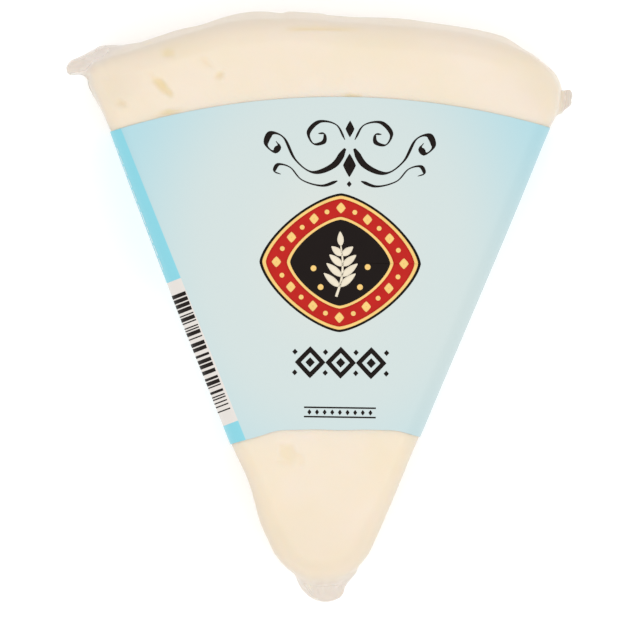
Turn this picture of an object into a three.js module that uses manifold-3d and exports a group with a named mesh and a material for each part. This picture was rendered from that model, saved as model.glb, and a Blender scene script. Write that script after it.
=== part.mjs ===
// A vacuum-packed wedge of white cheese, lying flat, with a printed label wrapped round its middle.
// Millimetres, +Z up. Places on the wedge are measured from its virtual apex, the point where the two
// cut faces would meet, and the group at the end carries that point into the part's own frame.
import * as THREE from "three";
import { mergeVertices } from "three/addons/utils/BufferGeometryUtils.js";
import Module from "manifold-3d";

const wasm = await Module();
wasm.setup();
const { degToRad, lerp, smoothstep } = THREE.MathUtils;

// The wedge: an eighth of a round cheese, film included
const HALF_ANGLE = degToRad(21.95);
const WHEEL_RADIUS = 132.4;
const BODY_HEIGHT = 33;
const TIP_RADIUS = 11.3;
const RIGHT_CORNER_RADIUS = 9;
const LEFT_CORNER_RADIUS = 4;
const FACE_CENTRE = 84; // from the apex, where the rings of both faces close

// Rounded edges: the upper one is softer at the rim and the tip than along the cut faces, except close
// to the left corner
const FLOOR_EDGE = 3;
const SIDE_EDGE = 3.5;
const RIM_EDGE = 5;
const TIP_EDGE = 5;
const RIM_BULGE = 1; // the wheel's own side swells outwards at half height

// The upper face swells a little and drops at both rim corners, and the rim runs in and out as it turns
const CROWN = 1.1;
const CROWN_REACH = 9;
const LEFT_CORNER = [-49, 122];
const RIGHT_CORNER = [47.5, 121];
const DROPS = [
  { corner: LEFT_CORNER, depth: 4.5, reach: 8.5 },
  { corner: RIGHT_CORNER, depth: 3, reach: 9 },
];
const RIM_WAVE = 0.7;
const RIM_WAVE_TURN = degToRad(21.5);
const RIM_WAVE_CREST = degToRad(-6.9);

// The bag's weld: a thin fin round the rim at half height, an ear at each end of it, and a gathered neck
// at the tip
const SEAL_HEIGHT = 17;
const FIN_INSIDE = 0.7; // how far the middle of the fin lies inside the rim
const FIN_HALF_WIDTH = 1.6;
const FIN_HALF_THICKNESS = 0.45;
const FIN_RIPPLES = 9;
const EAR_ROOT = [-40.5, 121.8]; // left ear, in plan
const EAR_END = [-52.9, 122.6];
const EAR_ROOT_HALF = { width: 5, height: 13 };
const EAR_END_HALF = { width: 1.2, height: 0.9 };
const TAB = { from: 122.7, to: 129.3, out: 2, root: -4, thickness: 1.6 }; // right ear, along the cut face
const NECK = { root: 27, end: 14.6, halfWidth: 5, rootHalfHeight: 9.5, endHalfHeight: 2.4 };

// The label: a band between two arcs on both faces, and straight across the cut faces
const LABEL_GAP = 0.3;
const LABEL_THICKNESS = 0.3;
const LABEL_FAR_ARC = { x: 4.1, y: -36.6, radius: 153.9 };
const LABEL_NEAR_ARC = { x: 4.3, y: -23.9, radius: 73.95 };

// Where the apex stands when the middle of the part's box is the origin
const APEX_IN_FRAME = [1.7, -74.8];

const FLOOR = LABEL_GAP + LABEL_THICKNESS; // the underside of the wedge, which the label lifts
const CEILING = FLOOR + BODY_HEIGHT;

// A soft bump of height 1 round a corner, for what fades out within the reach.
function nearness(x, y, corner, reach) {
  return Math.exp(-((x - corner[0]) ** 2 + (y - corner[1]) ** 2) / reach ** 2);
}

// How far the upper face stands above its edge. It rises from both cut faces and from the rim, and drops
// at the rim's corners, beyond the label.
function crown(x, y) {
  const rise = (distance) => 1 - Math.exp(-Math.max(distance, 0) / CROWN_REACH);
  const right = y * Math.sin(HALF_ANGLE) - x * Math.cos(HALF_ANGLE);
  const left = y * Math.sin(HALF_ANGLE) + x * Math.cos(HALF_ANGLE);
  const distance = Math.hypot(x, y);
  const drop = DROPS.reduce((sum, { corner, depth, reach }) =>
    sum + depth * nearness(x, y, corner, reach), 0);
  return CROWN * rise(right) * rise(left) * rise(WHEEL_RADIUS - distance)
    - drop * smoothstep(distance, 118.5, 130);
}

// The upper edge's radius at a point of the outline.
function edgeRadius(x, y) {
  const distance = Math.hypot(x, y);
  const tip = 1 - smoothstep(distance, 26, 44);
  const rim = smoothstep(distance, 124, 132) * (1 - nearness(x, y, LEFT_CORNER, 9));
  return SIDE_EDGE + (TIP_EDGE - SIDE_EDGE) * tip + (RIM_EDGE - SIDE_EDGE) * rim;
}

// How far the rim stands out or in at a bearing from the wedge's middle line.
function rimWave(bearing) {
  return RIM_WAVE * Math.cos((2 * Math.PI * (bearing - RIM_WAVE_CREST)) / RIM_WAVE_TURN);
}

// A circle inside the rim that touches the rim and a cut face, as the arc that rounds the corner.
function cornerCentre(radius, side) {
  const reach = WHEEL_RADIUS - radius;
  const bearing = side * (HALF_ANGLE - Math.asin(radius / reach));
  return { x: reach * Math.sin(bearing), y: reach * Math.cos(bearing), bearing };
}

// Points on a circle with the outward direction at each. Angles run anticlockwise from +X.
function arcPoints(x, y, radius, from, to, steps) {
  return Array.from({ length: steps + 1 }, (_, i) => {
    const angle = lerp(from, to, i / steps);
    const out = [Math.cos(angle), Math.sin(angle)];
    return { x: x + radius * out[0], y: y + radius * out[1], out };
  });
}

// Points between two ends of a straight stretch, without the ends and closer together near them.
function straightPoints(start, end, steps) {
  return Array.from({ length: steps - 1 }, (_, i) => {
    const share = (1 - Math.cos((Math.PI * (i + 1)) / steps)) / 2;
    return { x: lerp(start.x, end.x, share), y: lerp(start.y, end.y, share), out: start.out };
  });
}

// The wedge in plan, anticlockwise from the left of the tip: tip, right face, corner, rim, corner, left
// face. The rim's wave is added to the points that lie near the rim.
function outline() {
  const right = cornerCentre(RIGHT_CORNER_RADIUS, 1);
  const left = cornerCentre(LEFT_CORNER_RADIUS, -1);
  const up = Math.PI / 2;
  const tip = arcPoints(0, TIP_RADIUS / Math.sin(HALF_ANGLE), TIP_RADIUS,
    -Math.PI + HALF_ANGLE, -HALF_ANGLE, 12);
  const rightCorner = arcPoints(right.x, right.y, RIGHT_CORNER_RADIUS,
    -HALF_ANGLE, up - right.bearing, 8);
  const rim = arcPoints(0, 0, WHEEL_RADIUS, up - right.bearing, up - left.bearing, 20);
  const leftCorner = arcPoints(left.x, left.y, LEFT_CORNER_RADIUS,
    up - left.bearing, Math.PI + HALF_ANGLE, 7);
  const points = [
    ...tip,
    ...straightPoints(tip.at(-1), rightCorner[0], 12),
    ...rightCorner,
    ...rim.slice(1, -1),
    ...leftCorner,
    ...straightPoints(leftCorner.at(-1), tip[0], 12),
  ];
  for (const point of points) {
    const distance = Math.hypot(point.x, point.y);
    const wave = rimWave(Math.atan2(point.x, point.y)) * smoothstep(distance, 127, 132);
    point.edge = edgeRadius(point.x, point.y);
    point.bulge = RIM_BULGE * smoothstep(distance, 126, 132);
    point.x += wave * point.out[0];
    point.y += wave * point.out[1];
  }
  return points;
}

// A closed surface over rows of points that all run anticlockwise seen from above. With poles, the first
// and last rows close on them; without, the last row joins the first, as on a sleeve.
function skin(rows, poles) {
  const width = rows[0].length;
  const positions = rows.flat().flatMap((point) => point.toArray());
  const index = [];
  const bands = poles ? rows.length - 1 : rows.length;
  for (let r = 0; r < bands; r++)
    for (let c = 0; c < width; c++) {
      const next = (r + 1) % rows.length;
      const [a, b] = [r * width + c, r * width + ((c + 1) % width)];
      const [d, e] = [next * width + c, next * width + ((c + 1) % width)];
      index.push(a, b, e, a, e, d);
    }
  if (poles) {
    const first = positions.length / 3;
    positions.push(...poles[0].toArray(), ...poles[1].toArray());
    const top = (rows.length - 1) * width;
    for (let c = 0; c < width; c++) {
      index.push(first, (c + 1) % width, c);
      index.push(first + 1, top + c, top + ((c + 1) % width));
    }
  }
  return new THREE.BufferGeometry()
    .setAttribute("position", new THREE.BufferAttribute(new Float32Array(positions), 3))
    .setIndex(index);
}

// The tight pack itself: each row follows the outline at one inset and height, from the underside over
// the lower edge, the wall and the upper edge to the crowned face.
function wedgeBody() {
  const points = outline();
  const at = (point, inset, z, crownShare) => {
    const x = point.x - inset * point.out[0];
    const y = point.y - inset * point.out[1];
    return new THREE.Vector3(x, y, z + crownShare * crown(x, y));
  };
  const towardsCentre = (rim, share, crownShare) => {
    const x = rim.x * share;
    const y = lerp(FACE_CENTRE, rim.y, share);
    return new THREE.Vector3(x, y, crownShare ? CEILING + crown(x, y) : FLOOR);
  };
  const quarter = (i, steps) => (i / steps) * (Math.PI / 2);
  const rows = [];
  const lowerRing = points.map((point) => at(point, FLOOR_EDGE, FLOOR, 0));
  for (const share of [0.4, 0.75]) rows.push(lowerRing.map((rim) => towardsCentre(rim, share, 0)));
  for (let i = 0; i <= 4; i++) {
    const turn = quarter(i, 4);
    const z = FLOOR + FLOOR_EDGE * (1 - Math.cos(turn));
    rows.push(points.map((point) => at(point, FLOOR_EDGE * (1 - Math.sin(turn)), z, 0)));
  }
  for (let i = 1; i < 5; i++) {
    const share = i / 5;
    rows.push(points.map((point) =>
      at(point, -point.bulge * Math.sin(Math.PI * share),
        lerp(FLOOR + FLOOR_EDGE, CEILING - point.edge, share), 0)));
  }
  for (let i = 0; i <= 6; i++) {
    const turn = quarter(i, 6);
    rows.push(points.map((point) =>
      at(point, point.edge * (1 - Math.cos(turn)),
        CEILING - point.edge * (1 - Math.sin(turn)), Math.sin(turn))));
  }
  const upperRing = rows.at(-1);
  for (const share of [0.95, 0.88, 0.8, 0.6, 0.3])
    rows.push(upperRing.map((rim) => towardsCentre(rim, share, 1)));
  return skin(rows, [
    new THREE.Vector3(0, FACE_CENTRE, FLOOR),
    new THREE.Vector3(0, FACE_CENTRE, CEILING + crown(0, FACE_CENTRE)),
  ]);
}

// Shares of a path at which a lobe has its stations: even, or closer towards the end.
function shares(count, towardsEnd) {
  const even = Array.from({ length: count - 1 }, (_, i) => (i + 1) / count);
  return towardsEnd ? even.map((share) => Math.sin((share * Math.PI) / 2)) : even;
}

// 1 along a lobe and then a quarter ellipse down to its end, from the given share on.
function roundEnd(share, from) {
  return Math.sqrt(1 - (Math.max(share - from, 0) / (1 - from)) ** 2);
}

// A closed lobe along a path in plan: an ellipse at each station, square to the path, with a pole at
// each end. halfWidth and halfHeight give the ellipse by the share of the path.
function lobe({ path, halfWidth, halfHeight, height, stations, sides }) {
  const rows = stations.map((share) => {
    const middle = path(share);
    const ahead = path(share + 1e-3).sub(path(share - 1e-3)).normalize();
    return Array.from({ length: sides }, (_, c) => {
      const turn = (2 * Math.PI * c) / sides;
      const across = halfWidth(share) * Math.cos(turn);
      return new THREE.Vector3(middle.x - ahead.y * across, middle.y + ahead.x * across,
        height(share) + halfHeight(share) * Math.sin(turn));
    });
  });
  const pole = (share) => new THREE.Vector3(path(share).x, path(share).y, height(share));
  return skin(rows, [pole(0), pole(1)]);
}

// The weld along the rim, a thin rippled fin from one ear to the other.
function rimFin() {
  const reach = HALF_ANGLE - degToRad(3);
  const ripple = (share) => Math.sin(2 * Math.PI * FIN_RIPPLES * share);
  return lobe({
    path: (share) => {
      const bearing = lerp(-reach, reach, share);
      const radius = WHEEL_RADIUS + RIM_BULGE - FIN_INSIDE + rimWave(bearing);
      return new THREE.Vector2(radius * Math.sin(bearing), radius * Math.cos(bearing));
    },
    halfWidth: (share) => (FIN_HALF_WIDTH + 0.25 * ripple(share)) * Math.min(1, 12 * (1 - share)),
    halfHeight: () => FIN_HALF_THICKNESS,
    height: (share) => SEAL_HEIGHT + 0.5 * ripple(share * 0.6),
    stations: shares(44),
    sides: 6,
  });
}

// The left ear: the film pinched flat towards a blunt point, with a web back to both edges of the wedge.
function leftEar() {
  const [start, end] = [new THREE.Vector2(...EAR_ROOT), new THREE.Vector2(...EAR_END)];
  return lobe({
    path: (share) => start.clone().lerp(end, share),
    halfWidth: (share) => lerp(EAR_ROOT_HALF.width, EAR_END_HALF.width, share) * roundEnd(share, 0.92),
    halfHeight: (share) =>
      lerp(EAR_ROOT_HALF.height, EAR_END_HALF.height, share ** 0.8) * roundEnd(share, 0.92),
    height: () => SEAL_HEIGHT,
    stations: shares(12, true),
    sides: 14,
  });
}

// The gathered neck at the tip, wide and shallow, with a round end.
function tipNeck() {
  const from = 1 - NECK.halfWidth / (NECK.root - NECK.end);
  return lobe({
    path: (share) => new THREE.Vector2(0, lerp(NECK.root, NECK.end, share)),
    halfWidth: (share) => NECK.halfWidth * roundEnd(share, from),
    halfHeight: (share) => lerp(NECK.rootHalfHeight, NECK.endHalfHeight, share) * roundEnd(share, from),
    height: () => SEAL_HEIGHT,
    stations: shares(12, true),
    sides: 14,
  });
}

// The right ear: a small square tab of film. Its outline is in (outwards, along) from the right face.
function rightTab() {
  const shape = new THREE.Shape([
    [TAB.root, TAB.from + 1],
    [0.3, TAB.from],
    [0.9, TAB.from + 0.3],
    [TAB.out * 0.75, TAB.from + 3],
    [TAB.out, TAB.from + 4.3],
    [TAB.out * 0.7, TAB.to - 0.7],
    [0.4, TAB.to],
    [TAB.root, TAB.to - 1],
  ].map(([out, along]) => new THREE.Vector2(
    out * Math.cos(HALF_ANGLE) + along * Math.sin(HALF_ANGLE),
    -out * Math.sin(HALF_ANGLE) + along * Math.cos(HALF_ANGLE))));
  return new THREE.ExtrudeGeometry(shape, { depth: TAB.thickness, bevelEnabled: false, steps: 1 })
    .translate(0, 0, SEAL_HEIGHT - TAB.thickness / 2);
}

// The label's stations round the wedge, anticlockwise seen from the tip: each is a straight line in plan
// at one height, pushed outwards by the given offset.
function labelStations(offset) {
  const stations = [];
  const add = (side, inset, z, crownShare) => stations.push({
    origin: [-side * inset * Math.cos(HALF_ANGLE), inset * Math.sin(HALF_ANGLE)],
    ahead: [side * Math.sin(HALF_ANGLE), Math.cos(HALF_ANGLE)],
    z, crownShare,
  });
  const face = (inset, z, crownShare, steps, from) => {
    const start = inset / Math.sin(HALF_ANGLE);
    for (let i = 1; i < steps; i++) {
      const bearing = HALF_ANGLE * lerp(from, -from, i / steps);
      const ahead = [Math.sin(bearing), Math.cos(bearing)];
      stations.push({ origin: [0, start], ahead, z, crownShare });
    }
  };
  const edge = (side, radius, upper, turns) => {
    for (const turn of turns) {
      const inset = radius - (radius + offset) * Math.cos(turn);
      const rise = (radius + offset) * Math.sin(turn);
      const z = upper ? CEILING - radius + rise : FLOOR + radius - rise;
      add(side, inset, z, upper ? Math.sin(turn) : 0);
    }
  };
  const up = [0, 1, 2, 3, 4, 5].map((i) => (i * Math.PI) / 10);
  const down = [...up].reverse();
  const walls = [0.75, 0.5, 0.25];
  const wallHeight = (share) => lerp(FLOOR + FLOOR_EDGE, CEILING - SIDE_EDGE, share);
  edge(-1, SIDE_EDGE, true, up);
  face(SIDE_EDGE, CEILING + offset, 1, 18, -1);
  edge(1, SIDE_EDGE, true, down);
  for (const share of walls) add(1, -offset, wallHeight(share), 0);
  edge(1, FLOOR_EDGE, false, up);
  face(FLOOR_EDGE, FLOOR - offset, 0, 10, 1);
  edge(-1, FLOOR_EDGE, false, down);
  for (const share of [...walls].reverse()) add(-1, -offset, wallHeight(share), 0);
  return stations;
}

// How far along a station's line an arc of the label crosses it.
function crossing({ origin, ahead }, arc) {
  const [dx, dy] = [arc.x - origin[0], arc.y - origin[1]];
  const middle = dx * ahead[0] + dy * ahead[1];
  return middle + Math.sqrt(arc.radius ** 2 - dx * dx - dy * dy + middle * middle);
}

// The label: outer rows from the near arc to the far one, then inner rows back.
function labelSleeve() {
  const steps = 7;
  const layer = (offset) => {
    const stations = labelStations(offset);
    return Array.from({ length: steps + 1 }, (_, i) => stations.map((station) => {
      const reach = lerp(crossing(station, LABEL_NEAR_ARC), crossing(station, LABEL_FAR_ARC), i / steps);
      const x = station.origin[0] + reach * station.ahead[0];
      const y = station.origin[1] + reach * station.ahead[1];
      return new THREE.Vector3(x, y, station.z + station.crownShare * crown(x, y));
    }));
  };
  return skin([...layer(LABEL_GAP + LABEL_THICKNESS), ...layer(LABEL_GAP).reverse()]);
}

// A geometry as a solid for joining, and a joined solid as a geometry again.
function solidOf(geometry) {
  const bare = geometry.clone();
  bare.deleteAttribute("normal");
  bare.deleteAttribute("uv");
  const merged = mergeVertices(bare, 1e-4);
  return new wasm.Manifold(new wasm.Mesh({
    numProp: 3,
    vertProperties: merged.attributes.position.array,
    triVerts: new Uint32Array(merged.index.array),
  }));
}

function geometryOf(solid) {
  const mesh = solid.getMesh();
  const geometry = new THREE.BufferGeometry()
    .setAttribute("position", new THREE.BufferAttribute(mesh.vertProperties, 3))
    .setIndex(new THREE.BufferAttribute(mesh.triVerts, 1));
  geometry.computeVertexNormals();
  return geometry;
}

function namedMesh(name, geometry, material) {
  const mesh = new THREE.Mesh(geometry, new THREE.MeshStandardMaterial(material));
  mesh.name = name;
  return mesh;
}

const pack = [wedgeBody(), rimFin(), leftEar(), rightTab(), tipNeck()]
  .map(solidOf)
  .reduce((joined, piece) => joined.add(piece));
const label = solidOf(labelSleeve());

const group = new THREE.Group();
group.add(
  namedMesh("pack", geometryOf(pack), { color: "#f6e8d2", roughness: 0.3, metalness: 0 }),
  namedMesh("label", geometryOf(label), { color: "#d3e3e2", roughness: 0.4, metalness: 0 }),
);
group.position.set(...APEX_IN_FRAME, 0);
export default group;
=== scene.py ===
"""A vacuum-packed wedge of white cheese, lying flat: the cheese, its skin-tight film with pinched ears,
and a printed label wrapped round its middle.

Shapes are worked out in millimetres and measured from the wedge's virtual apex, the point where its two
cut faces would meet; placed() carries them into the frame, in metres. The wedge's skin is a grid: its
columns follow the plan's outline, and its rows climb from the underside over the lower edge, the wall and
the upper edge to the crowned face. The film, the cheese and the label are that skin at different depths.
"""
import math

import bpy
import numpy as np
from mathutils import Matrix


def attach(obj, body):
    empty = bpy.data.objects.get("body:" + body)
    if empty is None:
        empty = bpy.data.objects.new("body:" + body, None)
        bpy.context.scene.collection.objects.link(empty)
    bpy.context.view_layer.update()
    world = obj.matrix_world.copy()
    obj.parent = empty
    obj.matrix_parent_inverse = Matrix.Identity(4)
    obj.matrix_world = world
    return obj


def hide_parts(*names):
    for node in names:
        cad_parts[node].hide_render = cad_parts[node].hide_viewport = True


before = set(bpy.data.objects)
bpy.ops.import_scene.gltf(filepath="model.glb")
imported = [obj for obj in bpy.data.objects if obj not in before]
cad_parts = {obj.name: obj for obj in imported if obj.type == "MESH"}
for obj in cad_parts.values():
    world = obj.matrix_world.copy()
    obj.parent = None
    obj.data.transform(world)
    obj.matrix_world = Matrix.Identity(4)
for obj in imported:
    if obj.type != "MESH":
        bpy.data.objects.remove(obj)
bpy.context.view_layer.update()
scene = bpy.context.scene


# The camera looks straight down on the pack from 4 m through a long lens, because the photograph shows the
# walls only where they stand out. The pack fills most of the picture, and the wedge's middle line leans by
# less than a degree in it.
PICTURE_LEAN = math.radians(0.85)
PICTURE_WIDTH = 0.130  # what the picture takes in at the height of the labelled face
PICTURE_CENTRE = (0.00078, -0.00289)
FACE_HEIGHT = 0.0345
CAMERA_DISTANCE = 4.0
SENSOR_WIDTH = 36

camera_data = bpy.data.cameras.new("camera")
camera_data.sensor_width = SENSOR_WIDTH
camera_data.lens = SENSOR_WIDTH * CAMERA_DISTANCE / PICTURE_WIDTH
camera = bpy.data.objects.new("camera", camera_data)
camera.location = (*PICTURE_CENTRE, FACE_HEIGHT + CAMERA_DISTANCE)
camera.rotation_euler = (0, 0, PICTURE_LEAN)
scene.collection.objects.link(camera)
scene.camera = camera


# The table is a white sheet that glows faintly, as a light table does, so the pack throws hardly a shadow.
# A bright even room and one large soft lamp overhead, a little towards the tip, light the rest.
def new_material(name):
    """A material with a Principled shader, its node tree and that shader."""
    material = bpy.data.materials.new(name)
    material.use_nodes = True
    return material, material.node_tree, material.node_tree.nodes["Principled BSDF"]


def set_sockets(node, **values):
    """Sets a node's own inputs by name, with _ for each space."""
    for name, value in values.items():
        node.inputs[name.replace("_", " ")].default_value = value


TABLE_HALF = 3.0
TABLE_DROP = -0.00002
TABLE_GLOW = 0.21
table_mesh = bpy.data.meshes.new("table")
table_mesh.from_pydata(
    [(x * TABLE_HALF, y * TABLE_HALF, TABLE_DROP) for x, y in ((-1, -1), (1, -1), (1, 1), (-1, 1))],
    [], [(0, 1, 2, 3)])
table = bpy.data.objects.new("table", table_mesh)
scene.collection.objects.link(table)
table_finish, _, shader = new_material("white sheet")
set_sockets(shader, Base_Color=(0.95, 0.95, 0.95, 1), Roughness=0.9, Specular_IOR_Level=0.2,
            Emission_Color=(1, 1, 1, 1), Emission_Strength=TABLE_GLOW)
table_mesh.materials.append(table_finish)

ROOM_LIGHT = 0.80
world = bpy.data.worlds.new("room")
world.use_nodes = True
set_sockets(world.node_tree.nodes["Background"], Color=(1, 1, 1, 1), Strength=ROOM_LIGHT)
scene.world = world

LAMP_PLACE = (0.05, -0.14, 1.1)
LAMP_SIZE = 1.3
LAMP_POWER = 4.9
lamp_data = bpy.data.lights.new("soft lamp", "AREA")
lamp_data.size = LAMP_SIZE
lamp_data.energy = LAMP_POWER
lamp = bpy.data.objects.new("soft lamp", lamp_data)
lamp.location = LAMP_PLACE
LAMP_TILT = math.atan2(-LAMP_PLACE[1], LAMP_PLACE[2])
LAMP_LEAN = math.atan2(LAMP_PLACE[0], LAMP_PLACE[2])
lamp.rotation_euler = (LAMP_TILT, LAMP_LEAN, 0)
scene.collection.objects.link(lamp)
scene.view_settings.view_transform = "Standard"


# The cheese: an eighth of a round, white and moist, cut with a wire and pressed by its wrapping, which
# has drawn its soft corners and tip out a little. A few small holes have filled with yellowish whey.
MM = 0.001
APEX = np.array((1.7, -74.8, 0))

# The wedge in plan
HALF_ANGLE = math.radians(21.95)
SIN, COS = math.sin(HALF_ANGLE), math.cos(HALF_ANGLE)
RIGHT_OUT = np.array((COS, -SIN))
LEFT_OUT = np.array((-COS, -SIN))
WHEEL_RADIUS = 132.4
TIP_RADIUS = 11.3
RIGHT_CORNER_RADIUS = 9
LEFT_CORNER_RADIUS = 4
RIM_ZONE = (129, 132)  # distances from the apex between which the rim's own forms set in
RIM_WAVE = 0.7
RIM_WAVE_TURN = 21.5  # degrees of bearing
RIM_WAVE_CREST = -6.9
LEFT_SWAYS = ((84, 22, 0.28), (42, 5, -0.5), (32.5, 3.5, 0.28))  # distance from the apex, reach, how far out
RIGHT_SWAYS = ((96, 14, 0.15),)
RIGHT_BELLY = 0.2

# Its faces and edges
UNDERSIDE = 0.25
CEILING = 33.6
FACE_CENTRE = (0, 84)
CROWN = 1.1
CROWN_REACH = 9
FLOOR_EDGE = 3
SIDE_EDGE = 3.5
RIM_EDGE = 4.6
TIP_EDGE = 5
LEFT_CORNER_EDGE = 2.4
LEFT_CORNER = (-49, 122)
CORNER_DROPS = ((LEFT_CORNER, 4.5, 8.5), ((47.5, 121), 3, 9))  # place, depth, reach

# How far its wall stands out at half height: all along the rim, with bells of a bearing in degrees from the
# middle line, a reach and a height, a pleat between two steps, and round bells at the two corners
RIM_SWELL = 1.95
RIM_BELLS = ((5.3, 3.2, 0.55), (-7.2, 2.2, 0.3), (-11.2, 1.2, -0.3), (-4.3, 0.8, -0.2))
PLEAT = 0.22
PLEAT_STEPS = ((-3.9, -3.6), (-0.5, -0.2))
RIM_FLATTENING = 0.6  # share of the rim's swell that is lost at its right end
CORNER_BELLS = (((47.6, 118.8), 5, 0.9), ((46.4, 121.3), 2.8, 0.75), ((43.6, 124.6), 2.4, -0.4),
                ((-48.4, 119.6), 3.6, 0.7), ((-46.3, 118), 4, 0.28))  # place, reach, height

# Its skin
COLUMNS = 640
UNEVEN = 0.22  # height of the curd's unevenness
LABEL_FLATTENING = 0.6  # share of the unevenness that the tight label takes away
RIDGE_LINE, GROOVE_LINE = 129.2, 131.3  # how far the rim's fold lies from the apex
GROOVE_DEPTH = 0.3
CHEESE_INSET = 0.15


def placed(points):
    """Points in millimetres from the apex, as metres in the frame."""
    return (np.asarray(points) + APEX) * MM


def eased(value, start, end):
    """0 up to start and 1 from end on, with a smooth S between: 3t^2 - 2t^3 of the share t."""
    share = np.clip((value - start) / (end - start), 0, 1)
    return share * share * (3 - 2 * share)


def bell(value, middle, reach):
    """exp(-((value - middle) / reach)^2): 1 at the middle, next to nothing two reaches away."""
    return np.exp(-(((value - middle) / reach) ** 2))


def near(x, y, place, reach):
    """A round bell in plan: exp(-(distance from the place / reach)^2)."""
    return np.exp(-((x - place[0]) ** 2 + (y - place[1]) ** 2) / reach ** 2)


def under_label(distance):
    """1 in the middle of the label's band and 0 beyond its ends, by the distance from the apex."""
    return eased(distance, 50, 56) * (1 - eased(distance, 110, 118))


def crown(x, y):
    """Height of the upper face over its edge: three rises, 1 - exp(-distance / reach) from each cut face
    and from the rim, are multiplied."""
    inside = [-(x * out[0] + y * out[1]) for out in (RIGHT_OUT, LEFT_OUT)]
    inside.append(WHEEL_RADIUS - np.hypot(x, y))
    height = CROWN * np.ones_like(x)
    for distance in inside:
        height = height * (1 - np.exp(-np.maximum(distance, 0) / CROWN_REACH))
    return height


def corner_drop(x, y):
    """How far the upper face sinks at the two rim corners: bells that start near the rim."""
    bells = sum(depth * near(x, y, place, reach) for place, depth, reach in CORNER_DROPS)
    return bells * eased(np.hypot(x, y), 118.5, 130)


def sines(points, seed, shortest, longest):
    """The mean of nine seeded sine waves in space, between -1 and 1."""
    draw = np.random.default_rng(seed)
    total = np.zeros(points.shape[:-1])
    for _ in range(9):
        direction = draw.normal(size=3)
        direction /= np.linalg.norm(direction)
        turns = 2 * math.pi / draw.uniform(shortest, longest)
        total += np.sin(points @ direction * turns + draw.uniform(0, 2 * math.pi))
    return total / 9


def relief(points):
    """The gentle unevenness of pressed curd, in millimetres: sine waves 12 to 40 mm long that flatten out
    under the tight label and on the underside."""
    distance = np.hypot(points[..., 0], points[..., 1])
    flattened = 1 - LABEL_FLATTENING * under_label(distance)
    flattened = flattened * eased(points[..., 2], UNDERSIDE + 0.2, UNDERSIDE + 4)
    return UNEVEN * flattened * sines(points, 7, 12, 40)


def swelling(x, y):
    """How far the wall stands outside the plan at half height: along the rim a sum of bells over the
    bearing and the pleat, flatter towards its right end, and at the two corners a sum of round bells."""
    bearing = np.degrees(np.arctan2(x, y))
    rim = RIM_SWELL + sum(height * bell(bearing, middle, reach) for middle, reach, height in RIM_BELLS)
    pleat_start, pleat_end = (eased(bearing, *step) for step in PLEAT_STEPS)
    rim = (rim + PLEAT * (pleat_start - pleat_end)) * (1 - RIM_FLATTENING * eased(bearing, 15, 18))
    corners = sum(height * near(x, y, place, reach) for place, reach, height in CORNER_BELLS)
    return rim * eased(np.hypot(x, y), *RIM_ZONE) + corners


def cut_face_sway(x, distance):
    """How far a cut face stands out at a distance from the apex, as a sum of bells. Both belly under the
    label; the left one also pulls in to a waist where the label ends and swells a little below it."""
    left, right = (sum(height * bell(distance, middle, reach) for middle, reach, height in sways)
                   for sways in (LEFT_SWAYS, RIGHT_SWAYS))
    right = right + RIGHT_BELLY * eased(distance, 26, 34) * (1 - eased(distance, 122, 128))
    return np.where(x < 0, left, right)


def corner_centre(radius, side):
    """The circle inside the rim that touches the rim and one cut face: its centre and its bearing."""
    reach = WHEEL_RADIUS - radius
    bearing = side * (HALF_ANGLE - math.asin(radius / reach))
    return reach * math.sin(bearing), reach * math.cos(bearing), bearing


def run_of(line):
    """Length along a line of points in plan, from 0 at its first."""
    return np.concatenate([[0], np.cumsum(np.linalg.norm(np.diff(line, axis=0), axis=1))])


def picked(pairs, length, where):
    """Pairs of numbers known at some lengths along a line, at other lengths: straight between neighbours."""
    return np.stack([np.interp(where, length, pairs[:, axis]) for axis in (0, 1)], -1)


def evenly(line, count):
    """A line of points as so many points, spaced evenly along it."""
    length = run_of(line)
    return picked(line, length, np.linspace(0, length[-1], count))


def plan_outline(count):
    """The wedge in plan and the outward direction at each point, anticlockwise from the left of the tip:
    the arcs of the tip, the right corner, the rim and the left corner, joined by straight cut faces.
    Points are even along the line, but 2.5 times as far apart where the label covers the cut faces.
    The rim then runs in and out as a cosine of the bearing, and the cut faces sway."""
    right_x, right_y, right_bearing = corner_centre(RIGHT_CORNER_RADIUS, 1)
    left_x, left_y, left_bearing = corner_centre(LEFT_CORNER_RADIUS, -1)
    up = math.pi / 2
    steps = 600
    arcs = (
        (0, TIP_RADIUS / SIN, TIP_RADIUS, HALF_ANGLE - math.pi, -HALF_ANGLE),
        (right_x, right_y, RIGHT_CORNER_RADIUS, -HALF_ANGLE, up - right_bearing),
        (0, 0, WHEEL_RADIUS, up - right_bearing, up - left_bearing),
        (left_x, left_y, LEFT_CORNER_RADIUS, up - left_bearing, math.pi + HALF_ANGLE),
    )
    turn = np.concatenate([np.linspace(start, end, steps) for *_, start, end in arcs])
    out = np.stack([np.cos(turn), np.sin(turn)], -1)
    middle = np.repeat([arc[:2] for arc in arcs], steps, 0)
    radius = np.repeat([arc[2] for arc in arcs], steps)
    points = middle + out * radius[:, None]
    points, out = np.concatenate([points, points[:1]]), np.concatenate([out, out[:1]])
    length = run_of(points)
    fine = np.linspace(0, length[-1], 6000)
    distance = np.hypot(*picked(points, length, fine).T)
    so_far = np.concatenate([[0], np.cumsum(1 - 0.6 * under_label(distance[:-1]))])
    where = np.interp(np.arange(count) / count * so_far[-1], so_far, fine)
    points, out = picked(points, length, where), picked(out, length, where)
    distance = np.hypot(*points.T)
    bearing = np.degrees(np.arctan2(*points.T))
    sway = RIM_WAVE * np.cos(2 * math.pi * (bearing - RIM_WAVE_CREST) / RIM_WAVE_TURN)
    sway = sway * eased(distance, 127, 132) + cut_face_sway(points[:, 0], distance)
    return points + sway[:, None] * out, out


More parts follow.
